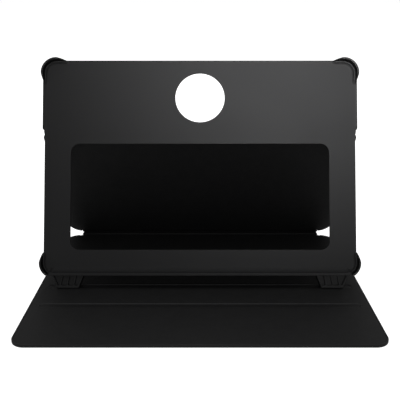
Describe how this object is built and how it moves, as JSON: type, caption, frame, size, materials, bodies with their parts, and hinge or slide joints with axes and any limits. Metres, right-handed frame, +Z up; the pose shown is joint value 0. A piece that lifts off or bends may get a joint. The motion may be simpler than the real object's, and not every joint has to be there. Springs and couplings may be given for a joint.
{
  "type": "tablet folio stand case",
  "caption": "Folio stand case for a tablet: open tray with rubber corner bumpers and ribbed feet, back panel with a folding kickstand, spine strip and front cover.",
  "frame": {"origin": "on the ground under the middle of the standing case's bounding box", "axes": "+X to the right along the case's width, -Y towards the front edge of the cover and the user, +Z up"},
  "size_m": [0.2716, 0.2162, 0.1857],
  "materials": {
    "tray_plastic": "smooth matte, fine texture",
    "bumper_rubber": "satin black rubber",
    "foot_rubber": "matte black rubber",
    "outer_skin": "fine-grain black synthetic leather",
    "inner_lining": "brushed black microfibre",
    "stiffener_board": "dull fibreboard",
    "adhesive_sheet": "dull tape",
    "magnet_metal": "bright nickel plate"
  },
  "bodies": {
    "spine": {"spine_skin": "outer_skin", "spine_board": "stiffener_board", "spine_lining": "inner_lining"},
    "front_cover": {"cover_skin": "outer_skin", "cover_board_front": "stiffener_board", "cover_board_middle": "stiffener_board", "cover_board_rear": "stiffener_board", "cover_lining": "inner_lining", "hold_magnets": "magnet_metal", "clasp_magnets": "magnet_metal"},
    "kickstand": {"kickstand_skin": "outer_skin", "kickstand_board": "stiffener_board", "kickstand_lining": "inner_lining"},
    "tray": {"tray_shell": "tray_plastic", "bumper_top_left": "bumper_rubber", "bumper_top_right": "bumper_rubber", "bumper_bottom_left": "bumper_rubber", "bumper_bottom_right": "bumper_rubber", "foot_left": "foot_rubber", "foot_right": "foot_rubber", "foot_magnet_left": "magnet_metal", "foot_magnet_right": "magnet_metal", "back_panel_adhesive": "adhesive_sheet", "back_panel_board": "stiffener_board", "back_panel_skin": "outer_skin"}
  },
  "joints": [
    {"name": "cover_fold", "type": "hinge", "parent": "spine", "child": "front_cover", "pos_m": [0, 0.09733, -0.00025], "axis": [1, 0, 0], "range_deg": [0, 180]},
    {"name": "stand_fold", "type": "hinge", "parent": "spine", "child": "kickstand", "pos_m": [0, 0.10743, 0.001], "axis": [-1, 0, 0], "range_deg": [0, 121.38]},
    {"name": "tray_hinge", "type": "hinge", "parent": "kickstand", "child": "tray", "pos_m": [0, 0.03333, 0.1225], "axis": [1, 0, 0], "range_deg": [0, 52.58]}
  ],
  "couplings": [
    {"joint": "tray_hinge", "follows": "stand_fold", "ratio": 0.43317}
  ]
}
